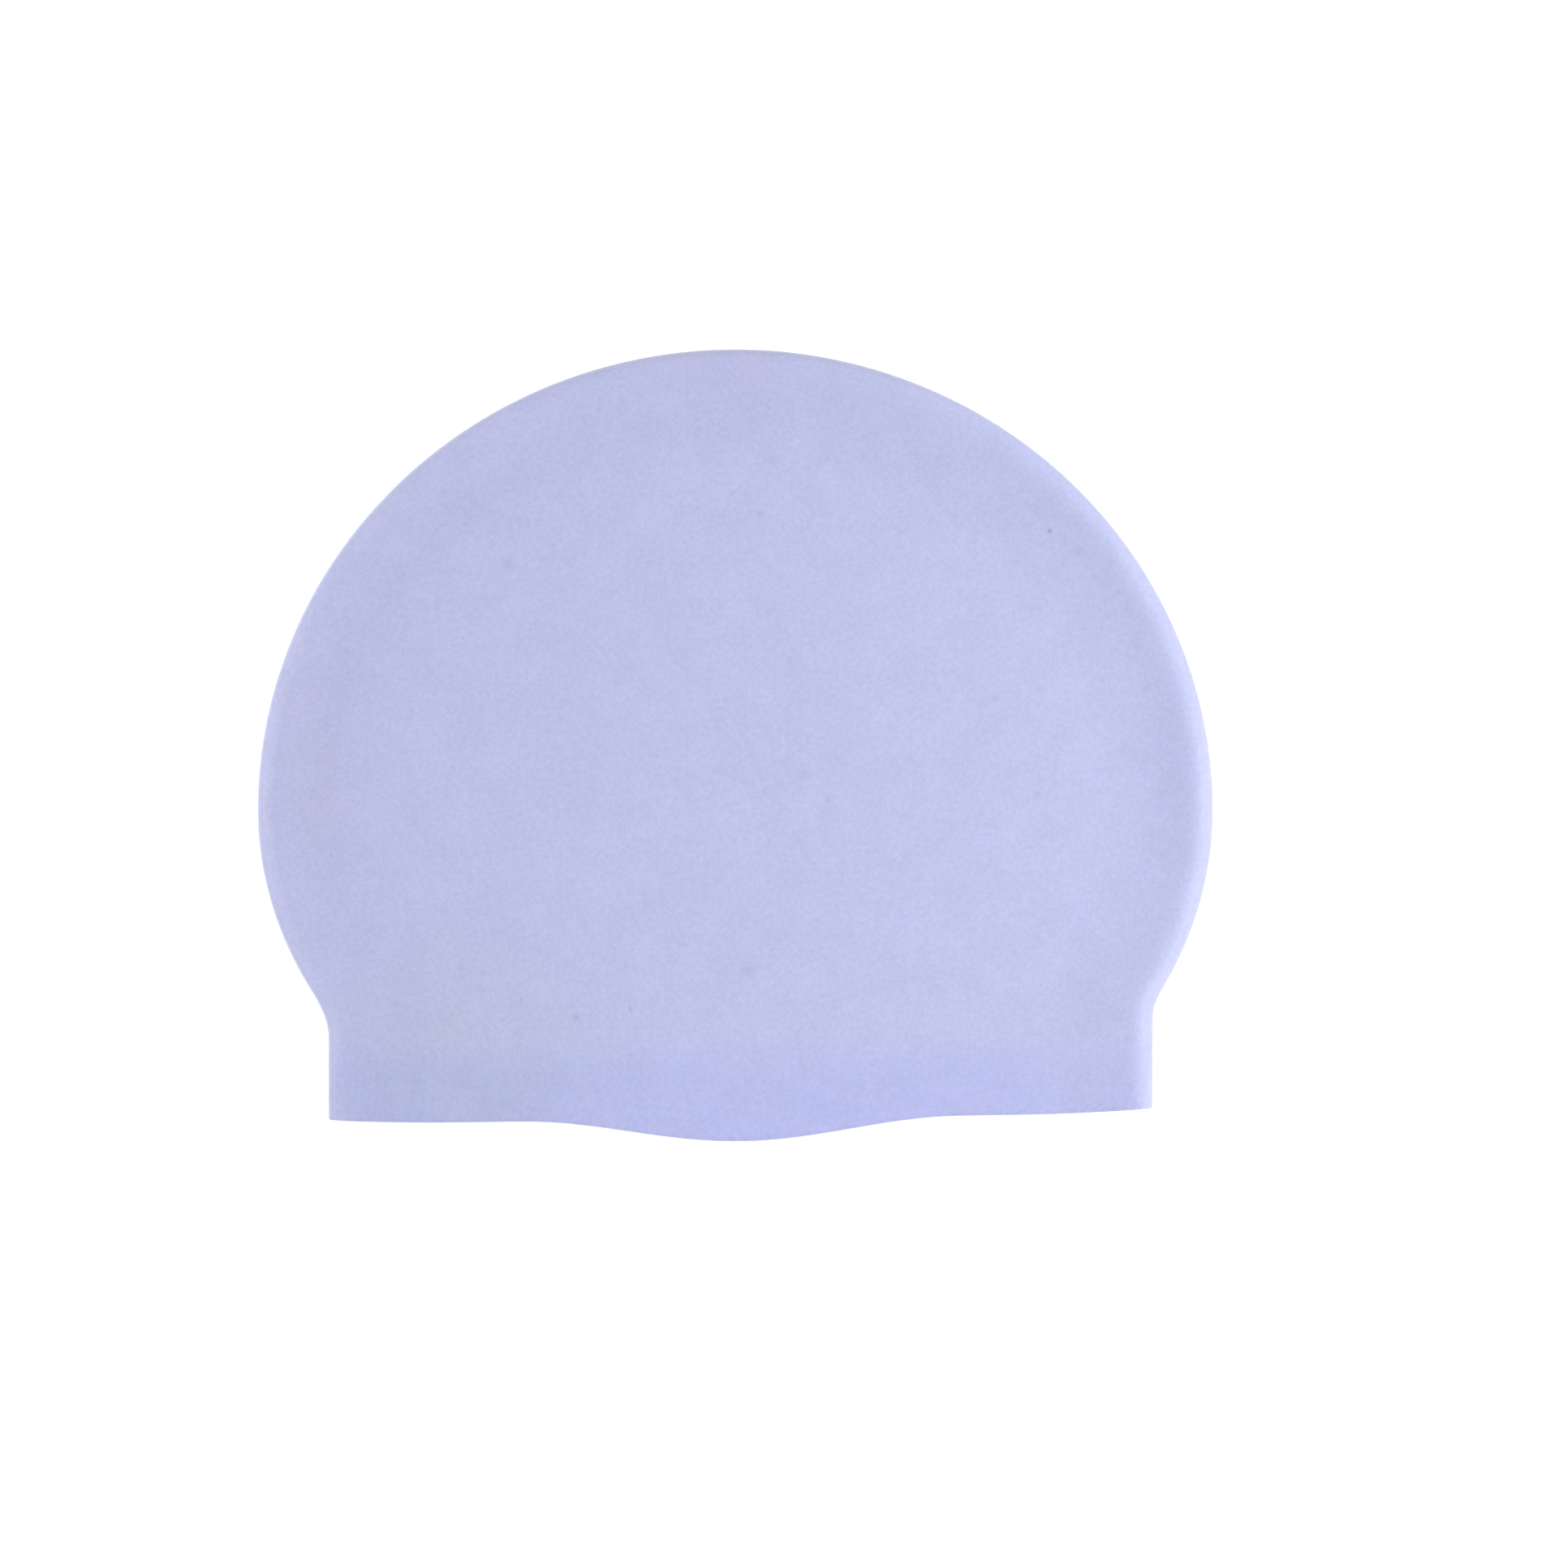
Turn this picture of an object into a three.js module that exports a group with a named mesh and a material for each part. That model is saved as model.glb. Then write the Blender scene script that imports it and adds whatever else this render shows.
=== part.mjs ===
import * as THREE from 'three';
import { LoftGeometry } from 'three/addons/geometries/LoftGeometry.js';

// Sizes in mm: the cap lies flat on z = 0, crown towards +Y, mouth towards -Y
const DOME_HALF_WIDTH = 114.15;
const CROWN_LENGTH = 110.1;
const SKIRT_LENGTH_LEFT = 93.8;
const SKIRT_LENGTH_RIGHT = 95.5;
const HEM_DISTANCE = 73.7;

// Neck under the dome: its own width, offset and side fillets
const NECK_WIDTH = 197;
const NECK_OFFSET = 1.25;
const NECK_FILLET_LEFT = 4;
const NECK_FILLET_RIGHT = 2.2;

// Rounded rim, shallow trough beside it and the raised middle of the top wall
const RIM_RADIUS = 5;
const TROUGH_DEPTH = 0.4;
const TROUGH_INSET = 12;
const TROUGH_REACH = 8;
const PILLOW_INSET = 15;
const PILLOW_RISE = 4.5;
const PILLOW_RUN = 90;
const PILLOW_EASE = 10;
const PILLOW_FADE_LENGTH = 44;
const MOUTH_HEIGHT = 8.4;
const MOUTH_SLOPE_LENGTH = 30;

// Hem: a thicker band with straight upper edge, a lean, lifted ends and an ear-cover bulge
const HEM_BAND_HEIGHT = 17.2;
const HEM_BAND_STEP = 4;
const HEM_LEAN = 0.0135;
const HEM_CORNER_RADIUS = 0.5;
const END_LIFT = 1;
const END_LIFT_START = 65;
const BULGE_DEPTH = 5.4;
const BULGE_REACH = 53;
const BULGE_OFFSET = 1.3;

// Silicone wall of the dome and of the hem band
const WALL = 0.8;
const HEM_WALL = 1.3;

// Facets: rows from crown to hem on each skin, and stops from rim to middle
const OUTER_ROWS = { rim: 6, crown: 18, skirt: 14, band: 4 };
const INNER_ROWS = { rim: 4, crown: 9, skirt: 6, band: 3 };
const LIP_ROWS = 3;
const RIM_STOPS = 5;
const WALL_STOPS = 10;
const STOP_SPREAD = 1.5;

// Step over which the slope of a side is measured
const LEAN_STEP = 0.5;

const clamp01 = (value) => Math.min(Math.max(value, 0), 1);
const smooth = (value) => clamp01(value) ** 2 * (3 - 2 * clamp01(value));

// Larger of two widths, rounded where they meet
function filletedMax(first, second, fillet) {
  const share = Math.max(fillet - Math.abs(first - second), 0) / fillet;
  return Math.max(first, second) + share ** 2 * fillet / 4;
}

// Half width of the flat outline at a height y above the widest line
function halfWidth(y, side) {
  if (y >= 0) {
    return DOME_HALF_WIDTH * Math.sqrt(Math.max(1 - (y / CROWN_LENGTH) ** 2, 0));
  }
  const skirtLength = side > 0 ? SKIRT_LENGTH_RIGHT : SKIRT_LENGTH_LEFT;
  const skirt = DOME_HALF_WIDTH * Math.sqrt(Math.max(1 - (y / skirtLength) ** 2, 0));
  const neck = NECK_WIDTH / 2 + side * NECK_OFFSET;
  const fillet = side > 0 ? NECK_FILLET_RIGHT : NECK_FILLET_LEFT;
  const intoCorner = Math.max(HEM_CORNER_RADIUS - (y + HEM_DISTANCE), 0);
  const corner = HEM_CORNER_RADIUS - Math.sqrt(Math.max(HEM_CORNER_RADIUS ** 2 - intoCorner ** 2, 0));
  return filletedMax(skirt, neck, fillet) - corner;
}

// How much a sloping side shortens the way from a point to the outline
function sideLean(y, side) {
  const upper = halfWidth(Math.min(y + LEAN_STEP, 0), side);
  const lower = halfWidth(Math.max(y - LEAN_STEP, HEM_CORNER_RADIUS - HEM_DISTANCE), side);
  return 1 / Math.hypot(1, (upper - lower) / (2 * LEAN_STEP));
}

// Half width of a skin that lies the given inset inside the outline
function skinHalfWidth(y, side, inset) {
  if (y >= 0) {
    const share = y / (CROWN_LENGTH - inset);
    return (DOME_HALF_WIDTH - inset) * Math.sqrt(Math.max(1 - share ** 2, 0));
  }
  return halfWidth(y, side) - inset / sideLean(y, side);
}

// Distance from the outline to a point of that skin
function rimDistance(x, y, side, inset) {
  if (y < 0) {
    return inset + (skinHalfWidth(y, side, inset) - Math.abs(x)) * sideLean(y, side);
  }
  const way = Math.hypot(x, y);
  const share = Math.hypot(x / (DOME_HALF_WIDTH - inset), y / (CROWN_LENGTH - inset));
  const reach = share > 0 ? way / share : CROWN_LENGTH - inset;
  return inset + Math.max(reach - way, 0);
}

// Half height of the rim, less towards the mouth
function rimHeight(y) {
  const share = smooth((y + HEM_DISTANCE) / MOUTH_SLOPE_LENGTH);
  return MOUTH_HEIGHT / 2 + (RIM_RADIUS - MOUTH_HEIGHT / 2) * share;
}

// Relief of the top wall: the trough beside the rim, then the soft raised middle
function relief(distance, y) {
  const inside = Math.max(distance - PILLOW_INSET, 0);
  const softStart = Math.min(inside, PILLOW_EASE) ** 2 / (2 * PILLOW_EASE);
  const climb = softStart + Math.max(inside - PILLOW_EASE, 0);
  const pillow = PILLOW_RISE * (1 - (1 - clamp01(climb / PILLOW_RUN)) ** 2);
  const trough = TROUGH_DEPTH * smooth(1 - Math.abs(distance - TROUGH_INSET) / TROUGH_REACH);
  const fade = smooth((y + HEM_DISTANCE - HEM_BAND_HEIGHT) / PILLOW_FADE_LENGTH);
  return (pillow - trough) * fade;
}

// Hem line: its lean, lifted ends and ear-cover bulge, measured from the mean hem
function hemLine(x) {
  const bulgeShare = clamp01(Math.abs(x - BULGE_OFFSET) / BULGE_REACH);
  const bulge = BULGE_DEPTH * Math.cos(bulgeShare * Math.PI / 2) ** 2;
  const endShare = Math.max(Math.abs(x) - END_LIFT_START, 0) / (NECK_WIDTH / 2 - END_LIFT_START);
  return HEM_LEAN * x + END_LIFT * endShare ** 2 - bulge;
}

// Stops from the rim (0) to the middle line (1), close together at the rim
const RIM_SHARE = RIM_RADIUS / DOME_HALF_WIDTH;
const stops = [];
for (let i = 0; i < RIM_STOPS; i += 1) {
  stops.push(RIM_SHARE * (i / RIM_STOPS) ** 2);
}
for (let i = 0; i <= WALL_STOPS; i += 1) {
  stops.push(RIM_SHARE + (1 - RIM_SHARE) * (i / WALL_STOPS) ** STOP_SPREAD);
}

// One point of a section: the top wall has up = 1, the under wall up = -1
function skinPoint(y, stop, side, up, inset) {
  const x = side * skinHalfWidth(y, side, inset) * (1 - stop);
  const distance = rimDistance(x, y, side, inset);
  const half = rimHeight(y);
  const intoRim = clamp01((RIM_RADIUS - distance) / (RIM_RADIUS - inset));
  const rounded = (half - inset) * Math.sqrt(1 - intoRim ** 2);
  const raised = up > 0 ? relief(distance, y) : 0;
  const towardsHem = 1 - smooth((y + HEM_DISTANCE) / HEM_BAND_HEIGHT);
  return new THREE.Vector3(x, y + hemLine(x) * towardsHem, half + up * rounded + raised);
}

// Closed section: right rim, over the top wall, left rim, back under it
function section(y, inset) {
  const across = (side, up) => stops.map((stop) => skinPoint(y, stop, side, up, inset));
  const topRight = across(1, 1);
  const topLeft = across(-1, 1).reverse().slice(1);
  const underLeft = across(-1, -1).slice(1);
  const underRight = across(1, -1).reverse().slice(1, -1);
  return [...topRight, ...topLeft, ...underLeft, ...underRight];
}

// Heights of the rows of one skin, from the crown down to the hem band
function rowHeights(rows, inset) {
  const length = CROWN_LENGTH - inset;
  const heights = [];
  for (let i = 1; i <= rows.rim; i += 1) {
    heights.push(length - RIM_RADIUS * (i / rows.rim) ** 2);
  }
  const rimAngle = Math.acos(1 - RIM_RADIUS / length);
  for (let i = 1; i < rows.crown; i += 1) {
    heights.push(length * Math.cos(rimAngle + (Math.PI / 2 - rimAngle) * i / rows.crown));
  }
  const skirt = HEM_DISTANCE - HEM_BAND_HEIGHT;
  for (let i = 0; i <= rows.skirt; i += 1) {
    heights.push(-skirt * i / rows.skirt);
  }
  return heights;
}

// Rows of the hem band, from its upper edge to where the lip begins
function bandHeights(rows) {
  const lipTop = HEM_WALL / 2 - HEM_DISTANCE;
  const bandTop = HEM_BAND_HEIGHT - HEM_DISTANCE - HEM_BAND_STEP;
  const heights = [];
  for (let i = 0; i <= rows.band; i += 1) {
    heights.push(bandTop + (lipTop - bandTop) * i / rows.band);
  }
  return heights;
}

// First section of a skin, pressed flat so that the crown closes on itself
function crownSeam(ring) {
  return ring.map((point) => new THREE.Vector3(point.x, point.y, RIM_RADIUS));
}

const outer = rowHeights(OUTER_ROWS, 0).map((y) => section(y, 0));
bandHeights(OUTER_ROWS).forEach((y) => outer.push(section(y, 0)));

const lip = [];
for (let i = 1; i <= LIP_ROWS; i += 1) {
  const angle = Math.PI * i / (LIP_ROWS + 1);
  const y = HEM_WALL / 2 * (1 - Math.sin(angle)) - HEM_DISTANCE;
  lip.push(section(y, HEM_WALL / 2 * (1 - Math.cos(angle))));
}

const inner = rowHeights(INNER_ROWS, WALL).map((y) => section(y, WALL));
bandHeights(INNER_ROWS).forEach((y) => inner.push(section(y, HEM_WALL)));
inner.reverse();

const sections = [crownSeam(outer[0]), ...outer, ...lip, ...inner, crownSeam(inner[inner.length - 1])];
const geometry = new LoftGeometry(sections);
geometry.computeBoundingBox();
const box = geometry.boundingBox;
geometry.translate(-(box.min.x + box.max.x) / 2, -(box.min.y + box.max.y) / 2, -box.min.z);

const silicone = new THREE.MeshStandardMaterial({
  color: new THREE.Color(0.753, 0.765, 0.91),
  roughness: 0.62,
  metalness: 0,
});

const capShell = new THREE.Mesh(geometry, silicone);
capShell.name = 'cap_shell';

const cap = new THREE.Group();
cap.name = 'swim_cap';
cap.add(capShell);

export default cap;
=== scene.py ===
# Looks of a moulded silicone swim cap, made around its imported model
import math

import bmesh
import bpy
from mathutils import Matrix, Vector, noise


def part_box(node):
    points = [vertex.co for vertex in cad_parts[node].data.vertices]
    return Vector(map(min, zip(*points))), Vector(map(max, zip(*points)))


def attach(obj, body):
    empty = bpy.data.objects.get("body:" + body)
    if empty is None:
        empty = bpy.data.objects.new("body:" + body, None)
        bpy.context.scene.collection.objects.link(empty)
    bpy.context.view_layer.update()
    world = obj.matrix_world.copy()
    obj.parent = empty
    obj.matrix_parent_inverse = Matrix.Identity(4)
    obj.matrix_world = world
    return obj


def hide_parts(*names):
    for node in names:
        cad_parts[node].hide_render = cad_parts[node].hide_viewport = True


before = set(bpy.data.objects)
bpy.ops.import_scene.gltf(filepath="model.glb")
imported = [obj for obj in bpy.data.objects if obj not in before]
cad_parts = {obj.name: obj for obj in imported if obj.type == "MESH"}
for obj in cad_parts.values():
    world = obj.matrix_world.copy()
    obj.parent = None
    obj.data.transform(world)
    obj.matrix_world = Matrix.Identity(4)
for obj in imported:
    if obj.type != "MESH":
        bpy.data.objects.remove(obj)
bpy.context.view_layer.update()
lowCorner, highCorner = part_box("cap_shell")
print("frame loaded:", sorted(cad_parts))


# Small helpers

mmPerMetre = 1000
white = (1.0, 1.0, 1.0, 1.0)


def clamp(value):
    return min(max(value, 0.0), 1.0)


def ease(value):
    value = clamp(value)
    return value * value * (3 - 2 * value)


class Wire:  # a socket that takes Python arithmetic
    def __init__(self, tree, socket=None):
        self.tree = tree
        self.socket = socket

    def node(self, kind, settings, sockets, output=0):
        made = self.tree.nodes.new(kind)
        for name, value in settings.items():
            setattr(made, name, value)
        for name, value in sockets.items():
            if isinstance(value, Wire):
                self.tree.links.new(value.socket, made.inputs[name])
            else:
                made.inputs[name].default_value = value
        return Wire(self.tree, made.outputs[output]) if made.outputs else made

    def maths(self, operation, first, second):
        return self.node("ShaderNodeMath", {"operation": operation}, {0: first, 1: second})

    def __add__(self, other):
        return self.maths("ADD", self, other)

    def __sub__(self, other):
        return self.maths("SUBTRACT", self, other)

    def __rsub__(self, other):
        return self.maths("SUBTRACT", other, self)

    def __mul__(self, other):
        return self.maths("MULTIPLY", self, other)

    __radd__ = __add__
    __rmul__ = __mul__

    def fade(self, low, high, atLow=0.0, atHigh=1.0):  # smooth step between two values
        settings = {"interpolation_type": "SMOOTHSTEP", "clamp": True}
        sockets = {"Value": self, "From Min": low, "From Max": high, "To Min": atLow, "To Max": atHigh}
        return self.node("ShaderNodeMapRange", settings, sockets)

    def scaled(self, factors):  # this wire is a place
        return self.node("ShaderNodeVectorMath", {"operation": "MULTIPLY"}, {0: self, 1: factors})

    def distanceTo(self, point):
        return self.node("ShaderNodeVectorMath", {"operation": "DISTANCE"}, {0: self, 1: point}, 1)

    def colourMix(self, first, second):  # this wire is the factor
        settings = {"data_type": "RGBA", "blend_type": "MIX", "clamp_factor": True}
        return self.node("ShaderNodeMix", settings, {0: self, 6: first, 7: second}, 2)

    def tintedBy(self, layer):  # this wire is the colour
        settings = {"data_type": "RGBA", "blend_type": "MULTIPLY"}
        return self.node("ShaderNodeMix", settings, {0: 1.0, 6: self, 7: layer}, 2)

    def clouds(self, pattern):  # this wire is the place
        sockets = {"Vector": self, "Scale": 1 / pattern["size"]}
        sockets.update({"Detail": pattern["detail"], "Roughness": pattern["rough"]})
        return self.node("ShaderNodeTexNoise", {}, sockets)


# Cap shell: a sphere opened at the mouth and pressed flat, in metres

capShell = {
    "around": 192,               # faces round each ring
    "rings": 160,                # rings of faces on the whole sphere
    "mouthCut": 0.6,             # where the unit sphere is opened
    "cutTolerance": 1e-7,
    "mergeDistance": 1e-6,
    "halfWidth": 0.11415,
    "crownLength": 0.1101,       # widest line to crown
    "hemDistance": 0.0737,       # widest line to hem
    # how fast each side draws in below the widest line: right is 1, left is -1
    "skirtLength": {1: 0.0955, -1: 0.0938},
    "neckWidth": 0.197,
    "neckOffset": 0.00125,       # the neck sits a little to the right
    "neckFillet": {1: 0.0022, -1: 0.004},
    "hemCorner": 0.0005,
    # heights above the hem of the extra rings that round its corners
    "cornerRings": (0.00004, 0.00012, 0.00025, 0.0005, 0.0009, 0.0016),
    "leanStep": 0.0005,          # over which the slope of a side is measured
    "rimRadius": 0.005,
    "troughDepth": 0.0004,       # shallow trough beside the rim
    "troughPlace": 0.012,
    "troughReach": 0.008,
    "pillowStart": 0.015,        # soft raised middle of the top wall
    "pillowRise": 0.0045,
    "pillowRun": 0.090,
    "pillowEase": 0.010,
    "pillowFade": 0.044,
    "mouthHeight": 0.0084,
    "mouthSlope": 0.030,
    "hemBand": 0.0172,
    "bandBlend": 0.004,          # over which the wall thickens into the hem band
    "hemLean": 0.0135,
    "endLift": 0.001,            # the hem rises a little towards its corners
    "endLiftStart": 0.065,
    "bulgeDepth": 0.0054,
    "bulgeReach": 0.053,
    "bulgeMiddle": 0.0013,
    "wall": 0.0008,
    "hemWall": 0.0013,
    "lipRound": 0.0004,
    "lipSegments": 3,
    "lipAngle": 50,              # degrees: sharper edges than this are rounded
    "softness": 0.00012,         # height of the soft waves in the top wall
    "waveLength": 0.034,
}


def halfWidthAt(y, side):  # of the flat outline
    cap = capShell
    if y >= 0:
        return cap["halfWidth"] * math.sqrt(max(1 - (y / cap["crownLength"]) ** 2, 0))
    skirt = cap["halfWidth"] * math.sqrt(max(1 - (y / cap["skirtLength"][side]) ** 2, 0))
    neck = cap["neckWidth"] / 2 + side * cap["neckOffset"]
    fillet = cap["neckFillet"][side]
    share = max(fillet - abs(skirt - neck), 0) / fillet
    radius = cap["hemCorner"]
    intoCorner = min(max(radius - (y + cap["hemDistance"]), 0), radius)
    corner = radius - math.sqrt(radius ** 2 - intoCorner ** 2)
    return max(skirt, neck) + share ** 2 * fillet / 4 - corner


def rimDistanceAt(x, y, side):  # how far inside the outline a point lies
    cap = capShell
    if y < 0:
        step = cap["leanStep"]
        lowest = cap["hemCorner"] - cap["hemDistance"]
        change = halfWidthAt(min(y + step, 0), side) - halfWidthAt(max(y - step, lowest), side)
        return (halfWidthAt(y, side) - abs(x)) / math.hypot(1, change / (2 * step))
    way = math.hypot(x, y)
    share = math.hypot(x / cap["halfWidth"], y / cap["crownLength"])
    return max(way / share - way, 0) if share > 0 else cap["crownLength"]


def reliefAt(distance, y):  # trough beside the rim, then the soft raised middle
    cap = capShell
    inside = max(distance - cap["pillowStart"], 0)
    softStart = min(inside, cap["pillowEase"]) ** 2 / (2 * cap["pillowEase"])
    climb = softStart + max(inside - cap["pillowEase"], 0)
    pillow = cap["pillowRise"] * (1 - (1 - clamp(climb / cap["pillowRun"])) ** 2)
    fade = ease((y + cap["hemDistance"] - cap["hemBand"]) / cap["pillowFade"])
    trough = cap["troughDepth"] * ease(1 - abs(distance - cap["troughPlace"]) / cap["troughReach"])
    return (pillow - trough) * fade


def pressFlat(spot):  # point of the unit sphere, pole towards +Y, to the flat cap with a straight hem
    cap = capShell
    if spot.y >= 0:
        y = spot.y * cap["crownLength"]
    else:
        y = spot.y / cap["mouthCut"] * cap["hemDistance"]
    across = math.hypot(spot.x, spot.z)
    share = spot.x / across if across > cap["mergeDistance"] else 0.0
    side = 1 if share >= 0 else -1
    x = share * halfWidthAt(y, side)
    distance = rimDistanceAt(x, y, side)
    slope = ease((y + cap["hemDistance"]) / cap["mouthSlope"])
    half = cap["mouthHeight"] / 2 + (cap["rimRadius"] - cap["mouthHeight"] / 2) * slope
    intoRim = clamp(1 - distance / cap["rimRadius"])
    rise = half * math.sqrt(1 - intoRim ** 2)
    if spot.z < 0:
        return Vector((x, y, half - rise))
    flat = ease((distance - cap["rimRadius"]) / cap["pillowStart"])
    wave = noise.noise(Vector((x, y, 0)) / cap["waveLength"]) * cap["softness"] * flat
    return Vector((x, y, half + rise + reliefAt(distance, y) + wave))


def hemLineAt(x):  # lean, lifted ends and bulge of the hem
    cap = capShell
    share = clamp(abs(x - cap["bulgeMiddle"]) / cap["bulgeReach"])
    bulge = cap["bulgeDepth"] * math.cos(share * math.pi / 2) ** 2
    liftRun = cap["neckWidth"] / 2 - cap["endLiftStart"]
    endShare = max(abs(x) - cap["endLiftStart"], 0) / liftRun
    return cap["hemLean"] * x + cap["endLift"] * endShare ** 2 - bulge


def cutAcross(mesh, y, openBelow=False):  # a ring of edges across the sphere, or its open end
    bmesh.ops.bisect_plane(
        mesh,
        geom=mesh.verts[:] + mesh.edges[:] + mesh.faces[:],
        dist=capShell["cutTolerance"],
        plane_co=(0, y, 0),
        plane_no=(0, -1, 0),
        clear_outer=openBelow,
    )


def pressedSphere():  # sphere with its pole turned towards +Y, opened and pressed flat
    cap = capShell
    mesh = bmesh.new()
    bmesh.ops.create_uvsphere(mesh, u_segments=cap["around"], v_segments=cap["rings"], radius=1)
    bmesh.ops.rotate(mesh, verts=mesh.verts, cent=(0, 0, 0), matrix=Matrix.Rotation(-math.pi / 2, 3, "X"))
    cutAcross(mesh, -cap["mouthCut"], openBelow=True)
    for height in cap["cornerRings"]:
        cutAcross(mesh, -cap["mouthCut"] * (1 - height / cap["hemDistance"]))
    for vert in mesh.verts:
        vert.co = pressFlat(vert.co)
    return mesh


def shapeHem(mesh):  # lets the hem take its line, and notes what the wall and the material read
    cap = capShell
    weights = mesh.verts.layers.deform.verify()
    hemHeight = mesh.verts.layers.float.new("hemHeight")
    rimInset = mesh.verts.layers.float.new("rimInset")
    bandTop = cap["hemBand"] - cap["hemDistance"]
    shift = Vector((0, highCorner.y - max(vert.co.y for vert in mesh.verts), 0))
    for vert in mesh.verts:
        side = 1 if vert.co.x >= 0 else -1
        fromHem = vert.co.y + cap["hemDistance"]
        vert[weights][0] = 1 - ease((vert.co.y - bandTop) / cap["bandBlend"] + 0.5)
        vert[hemHeight] = fromHem * mmPerMetre
        vert[rimInset] = rimDistanceAt(vert.co.x, vert.co.y, side) * mmPerMetre
        vert.co.y += hemLineAt(vert.co.x) * (1 - ease(fromHem / cap["hemBand"]))
        vert.co += shift


def makeCapShell():
    cap = capShell
    mesh = pressedSphere()
    shapeHem(mesh)
    bmesh.ops.remove_doubles(mesh, verts=mesh.verts, dist=cap["mergeDistance"])
    bmesh.ops.recalc_face_normals(mesh, faces=mesh.faces)
    data = bpy.data.meshes.new("capShell")
    mesh.to_mesh(data)
    mesh.free()
    data.shade_smooth()
    piece = bpy.data.objects.new("capShell", data)
    bpy.context.scene.collection.objects.link(piece)
    piece.vertex_groups.new(name="hemBand")
    wall = piece.modifiers.new("wall", "SOLIDIFY")
    wall.thickness = cap["hemWall"]
    wall.offset = -1
    wall.use_even_offset = True
    wall.vertex_group = "hemBand"
    wall.thickness_vertex_group = cap["wall"] / cap["hemWall"]
    lip = piece.modifiers.new("lip", "BEVEL")
    lip.width = cap["lipRound"]
    lip.segments = cap["lipSegments"]
    lip.limit_method = "ANGLE"
    lip.angle_limit = math.radians(cap["lipAngle"])
    return piece


# Silicone: matte lavender, deeper in colour where the hem doubles the wall, with painted shade and
# painted highlights along the rim and in patches

silicone = {
    "colour": (0.543, 0.571, 0.853, 1),
    "hemColour": (0.505, 0.534, 0.846, 1),
    "hemFade": (8.0, 21.0),      # mm above the hem
    # painted shade and painted highlight along the rim, standing in for how the lamps fall on it: a
    # darker outer edge, darker still on the right, a lighter line on the left rim that turns darker on
    # the right, and a darker ring in the trough beside the rim; columns: change at the left end, at the
    # right end, share of it that the hem band keeps, and where it fades in and out, in mm inside the
    # outline
    "rimPaintedLight": [
        (-0.052, -0.058, 0.1, (-1.0, -0.5), (0.9, 2.2)),
        (-0.005, -0.060, 0.5, (-1.0, -0.5), (0.6, 1.3)),
        (0.070, -0.043, 1.0, (0.9, 1.5), (3.0, 4.5)),
        (-0.025, -0.039, 1.0, (2.0, 8.0), (15.0, 30.0)),
    ],
    # patches of painted shade and painted light seen from above, most standing in for how the lamps fall,
    # some only shifting the hue: x, y, reach along x and along y in mm, and colour
    "lightAndTintPatches": [
        # painted shade over the lower left corner, far from the lamps, also less blue
        (-66, -82, 50, 56, (0.958, 0.975, 0.910, 1)),
        # painted light on the lower right of the hem band
        (86, -82, 26, 14, (1.035, 1.035, 0.99, 1)),
        # painted shade in the trough beside the right rim
        (102, -8, 11, 26, (0.965, 0.975, 0.985, 1)),
        (-101, -8, 13, 30, (1.0, 0.99, 0.965, 1)),
        # painted highlight on the right rim
        (114, -2, 4, 34, (1.05, 1.05, 1.03, 1)),
        (-98, -88, 14, 12, (1.0, 1.0, 0.945, 1)),
        (0, 87, 30, 11, (0.985, 0.965, 0.98, 1)),
    ],
    "lipPaintedShade": 0.04,            # painted shade: a thin darker line along the hem's lip, where it curves under
    "lipFade": (0.35, 1.1),      # mm above the hem
    # clouds in the colour, and the fine grain of the surface: size in metres
    "mottle": {"size": 0.010, "detail": 3.0, "rough": 0.65},
    "mottleDepth": 0.12,
    "fleck": {"size": 0.001, "detail": 2.0, "rough": 0.6},
    "fleckDepth": 0.28,
    "tint": {"size": 0.009, "detail": 2.0, "rough": 0.5},
    "tintFade": (0.35, 0.65),
    "warmTint": (1.012, 0.998, 0.997, 1),
    "coolTint": (0.988, 1.002, 1.003, 1),
    "grain": {"size": 0.00035, "detail": 2.0, "rough": 0.6},
    "grainHeight": 0.00002,
    "grainStrength": 0.6,
    "roughness": 0.55,
    "roughnessSpread": 0.08,
    "ior": 1.41,
    "specular": 0.4,
    "subsurface": 0.35,
    "subsurfaceRadius": (1.0, 0.9, 1.1),
    "subsurfaceScale": 0.0012,
    "sheen": 0.15,
    "sheenRoughness": 0.5,
    "spotDepth": 0.01,           # one step of strength of a spot
    # soft marks of handling seen from above: x, y, radius in mm and strength
    "spots": [
        (-54, 43, 2.8, 7), (9, 68, 2.2, 5), (6, 55, 1.2, 10), (16, -7, 2.6, 8),
        (22, -13, 1.5, 10), (3, -54, 2.8, 8), (-38, -65, 1.3, 14), (75, 51, 0.9, 36),
        (82, 46, 2.2, 9), (89, 44, 2.5, 4), (-27, 82, 1.6, 6), (-2, 11, 1.3, 5),
        (62, 11, 1.8, 8), (13, 20, 1.5, 7), (-81, -62, 1.1, 6), (-51, -61, 1.3, 4),
        (-25, -63, 1.0, 18), (72, -12, 1.8, 8),
    ],
}


# painted shade and painted highlight along the rim, by inset from the outline and by side
def addRimPaintedLight(shade, maker, place, inBand):
    rimInset = maker.node("ShaderNodeAttribute", {"attribute_name": "rimInset"}, {}, "Fac")
    alongX = maker.node("ShaderNodeSeparateXYZ", {}, {"Vector": place})
    across = alongX * (0.5 / capShell["halfWidth"]) + 0.5
    for atLeft, atRight, inHem, fadeIn, fadeOut in silicone["rimPaintedLight"]:
        strength = ((atRight - atLeft) * across + atLeft) * (1 - (1 - inHem) * inBand)
        shade = shade + strength * rimInset.fade(*fadeIn) * rimInset.fade(*fadeOut, 1.0, 0.0)
    return shade


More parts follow.
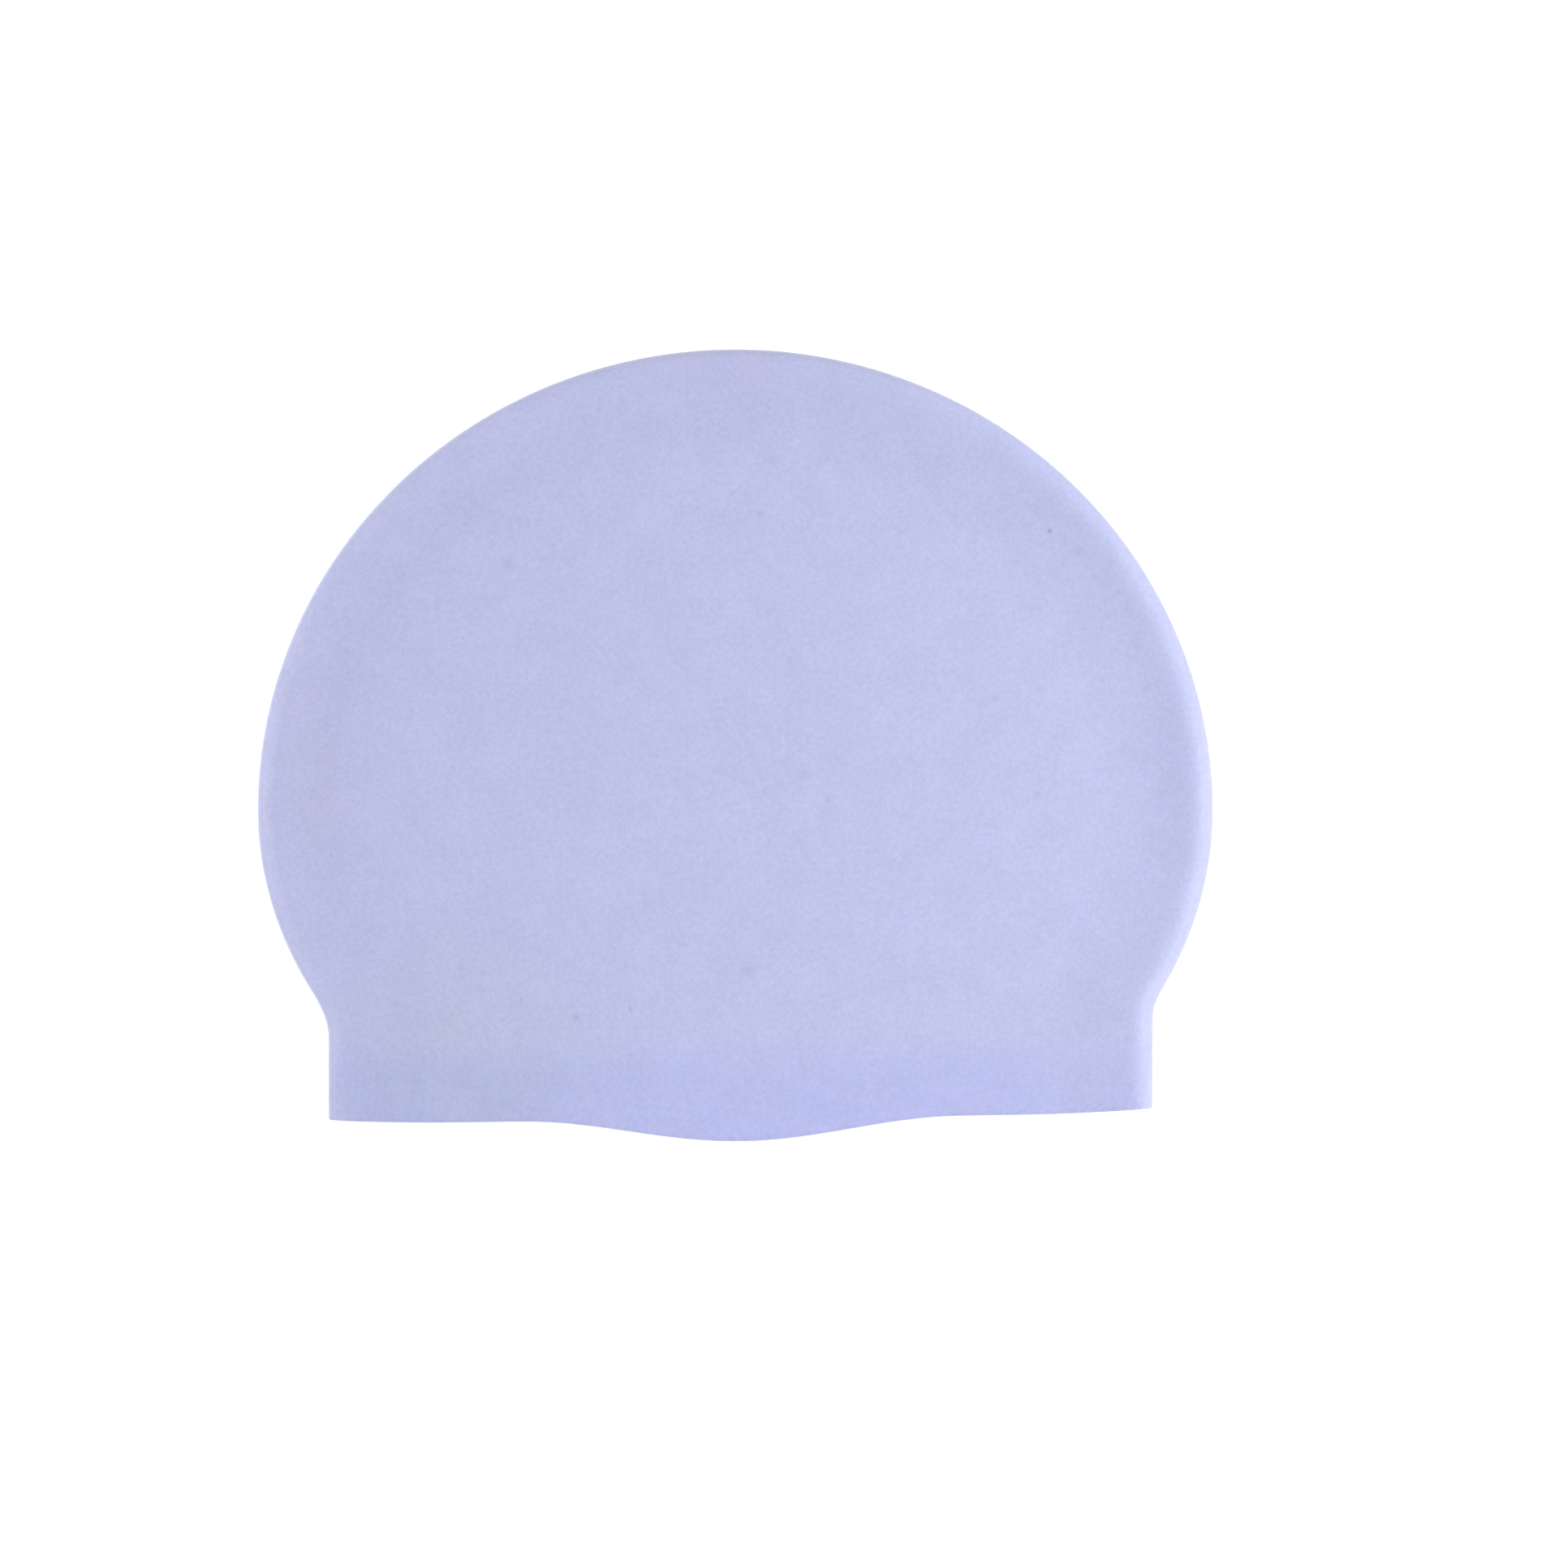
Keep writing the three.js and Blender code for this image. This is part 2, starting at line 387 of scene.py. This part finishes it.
def addSpots(shade, place):
    inPlan = place.scaled((1.0, 1.0, 0.0))
    for x, y, radius, strength in silicone["spots"]:
        away = inPlan.distanceTo((x / mmPerMetre, y / mmPerMetre, 0.0))
        shade = shade - away.fade(0.0, radius / mmPerMetre, strength * silicone["spotDepth"], 0.0)
    return shade


# patches of painted shade and painted light, some only shifting the hue
def lightAndTintLayers(place):
    layers = []
    for x, y, reachX, reachY, shadeAndTint in silicone["lightAndTintPatches"]:
        inPlan = place.scaled((mmPerMetre / reachX, mmPerMetre / reachY, 0.0))
        away = inPlan.distanceTo((x / reachX, y / reachY, 0.0))
        layers.append(away.fade(0.0, 1.0).colourMix(shadeAndTint, white))
    return layers


def makeSilicone():
    look = silicone
    material = bpy.data.materials.new("lavenderSilicone")
    material.use_nodes = True
    tree = material.node_tree
    tree.nodes.clear()
    maker = Wire(tree)
    place = maker.node("ShaderNodeTexCoord", {}, {}, "Object")
    hemHeight = maker.node("ShaderNodeAttribute", {"attribute_name": "hemHeight"}, {}, "Fac")
    inBand = hemHeight.fade(*look["hemFade"], 1.0, 0.0)
    mottle = place.clouds(look["mottle"])
    fleck = place.clouds(look["fleck"])

    # painted shade along the hem's lip
    shade = 1 - hemHeight.fade(*look["lipFade"], look["lipPaintedShade"], 0.0)
    # painted shade and painted highlight along the rim
    shade = addRimPaintedLight(shade, maker, place, inBand)
    shade = shade + look["mottleDepth"] * (mottle - 0.5) + look["fleckDepth"] * (fleck - 0.5)
    shade = addSpots(shade, place)

    tint = place.clouds(look["tint"]).fade(*look["tintFade"])
    colour = inBand.colourMix(look["colour"], look["hemColour"])
    colour = colour.tintedBy(tint.colourMix(look["warmTint"], look["coolTint"]))
    colour = colour.tintedBy(maker.node("ShaderNodeCombineColor", {}, {0: shade, 1: shade, 2: shade}))
    # patches of painted shade and painted light, some only shifting the hue
    for layer in lightAndTintLayers(place):
        colour = colour.tintedBy(layer)

    bump = maker.node("ShaderNodeBump", {}, {
        "Strength": look["grainStrength"],
        "Distance": look["grainHeight"],
        "Height": place.clouds(look["grain"]),
    })
    shader = maker.node("ShaderNodeBsdfPrincipled", {"subsurface_method": "RANDOM_WALK"}, {
        "Base Color": colour,
        "Roughness": look["roughness"] + look["roughnessSpread"] * (mottle - 0.5),
        "Normal": bump,
        "IOR": look["ior"],
        "Specular IOR Level": look["specular"],
        "Subsurface Weight": look["subsurface"],
        "Subsurface Radius": look["subsurfaceRadius"],
        "Subsurface Scale": look["subsurfaceScale"],
        "Sheen Weight": look["sheen"],
        "Sheen Roughness": look["sheenRoughness"],
    })
    maker.node("ShaderNodeOutputMaterial", {}, {"Surface": shader})
    return material


# Studio: pale glowing floor, soft light mostly from both sides

studio = {
    "floorSize": 14.0,
    "floorColour": (0.28, 0.28, 0.28, 1),
    "floorRoughness": 0.8,
    "floorGlow": 0.86,           # a light table: the floor shines through and shadows stay faint
    "worldStrength": 0.06,
    "lightDistance": 2.2,
    "lightWidth": 1.2,
    "lights": {
        # name: direction in degrees from +X, height in degrees, tallness in metres, watts
        "right": (0, 40, 1.2, 35),
        "lowerRight": (315, 40, 1.2, 17),
        "above": (0, 90, 1.2, 8),
        "left": (180, 10, 0.8, 30),
        "crownSide": (90, 10, 0.8, 10),
    },
}


def makeFloor():
    mesh = bmesh.new()
    bmesh.ops.create_grid(mesh, x_segments=1, y_segments=1, size=studio["floorSize"] / 2)
    data = bpy.data.meshes.new("floor")
    mesh.to_mesh(data)
    mesh.free()
    floor = bpy.data.objects.new("floor", data)
    floor.location.z = lowCorner.z
    bpy.context.scene.collection.objects.link(floor)
    material = bpy.data.materials.new("paleFloor")
    material.use_nodes = True
    sockets = material.node_tree.nodes["Principled BSDF"].inputs
    sockets["Base Color"].default_value = studio["floorColour"]
    sockets["Roughness"].default_value = studio["floorRoughness"]
    sockets["Emission Color"].default_value = white
    sockets["Emission Strength"].default_value = studio["floorGlow"]
    data.materials.append(material)


def makeLights():
    for name, (direction, height, tallness, watts) in studio["lights"].items():
        light = bpy.data.lights.new(name, "AREA")
        light.shape = "RECTANGLE"
        light.size = studio["lightWidth"]
        light.size_y = tallness
        light.energy = watts
        lamp = bpy.data.objects.new(name, light)
        lamp.visible_camera = False
        around, up = math.radians(direction), math.radians(height)
        towards = Vector((math.cos(around) * math.cos(up), math.sin(around) * math.cos(up), math.sin(up)))
        lamp.location = towards * studio["lightDistance"]
        lamp.rotation_euler = (-towards).to_track_quat("-Z", "Y").to_euler()
        bpy.context.scene.collection.objects.link(lamp)


def makeStudio():
    makeFloor()
    makeLights()
    world = bpy.data.worlds.new("studioAir")
    world.use_nodes = True
    sockets = world.node_tree.nodes["Background"].inputs
    sockets["Color"].default_value = white
    sockets["Strength"].default_value = studio["worldStrength"]
    bpy.context.scene.world = world
    bpy.context.scene.view_settings.view_transform = "Standard"


# Camera: straight above the cap, long lens

photoCamera = {
    "aim": (0.01162, -0.00936, 0.005),
    "fieldWidth": 0.3749,        # width of the picture at the height of the aim
    "lens": 200.0,
}


def makeCamera():
    data = bpy.data.cameras.new("photoCamera")
    data.lens = photoCamera["lens"]
    camera = bpy.data.objects.new("photoCamera", data)
    aim = Vector(photoCamera["aim"])
    distance = photoCamera["fieldWidth"] * data.lens / data.sensor_width
    camera.location = aim + Vector((0, 0, distance))
    bpy.context.scene.collection.objects.link(camera)
    bpy.context.scene.camera = camera


makeCamera()
makeStudio()
print("camera and studio made")

shell = makeCapShell()
shell.data.materials.append(makeSilicone())
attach(shell, "root")
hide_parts("cap_shell")
print("cap shell made:", len(shell.data.polygons), "faces before its wall")
